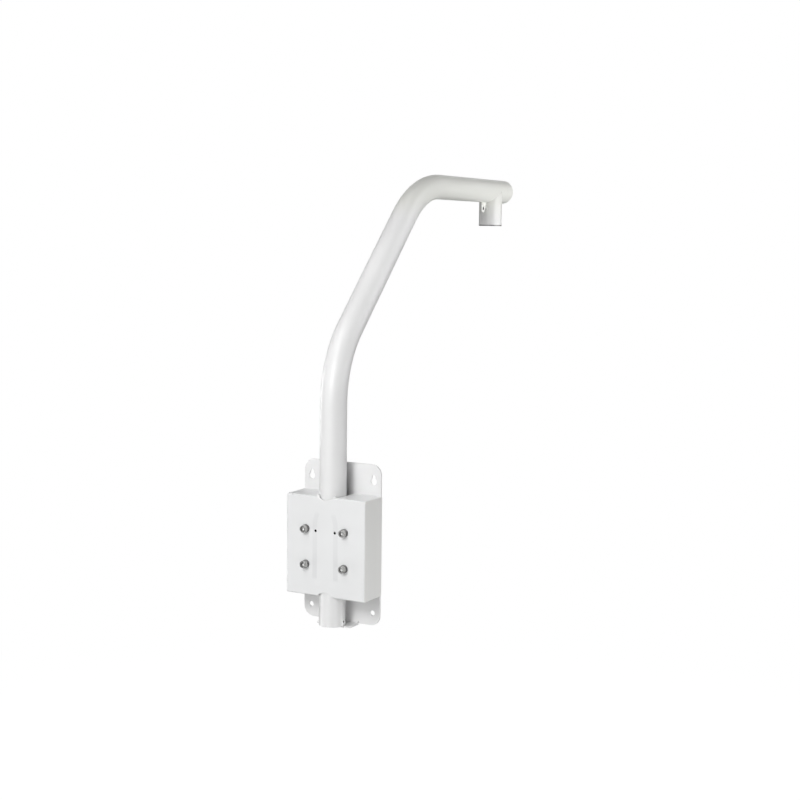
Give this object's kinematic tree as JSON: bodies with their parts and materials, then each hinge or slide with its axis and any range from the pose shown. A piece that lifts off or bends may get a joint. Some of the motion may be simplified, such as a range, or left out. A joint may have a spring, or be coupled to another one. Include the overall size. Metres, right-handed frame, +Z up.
{
  "type": "camera parapet mount",
  "caption": "Parapet mount for a camera: wall plate, folded clamp cover and a bent round mast that turns in the clamp, with a level arm, a downward threaded coupling and a safety eye.",
  "frame": {"origin": "centre of the back plate's wall-side face", "axes": "+Y into the wall, +Z up, +X to the right for someone who faces the plate"},
  "size_m": [0.2044, 0.9049, 1.0256],
  "materials": {
    "powder_coat": "white satin powder coat on steel",
    "stainless": "turned stainless steel"
  },
  "bodies": {
    "wall_bracket": {"back_plate": "powder_coat", "saddle_upper": "powder_coat", "saddle_lower": "powder_coat", "threaded_pillars": "powder_coat", "clamp_cover": "powder_coat", "clamp_rail_left": "powder_coat", "clamp_rail_right": "powder_coat", "clamp_bolts": "stainless", "spring_washers": "stainless", "flat_washers": "stainless"},
    "mast": {"mast_tube": "powder_coat", "arm_end_cap": "powder_coat", "camera_coupling": "powder_coat", "safety_eye": "powder_coat"}
  },
  "joints": [
    {"name": "mast_swivel", "type": "hinge", "parent": "wall_bracket", "child": "mast", "pos_m": [0, -0.044, -0.1823], "axis": [0, 0, 1], "range_deg": [-180, 180]}
  ]
}
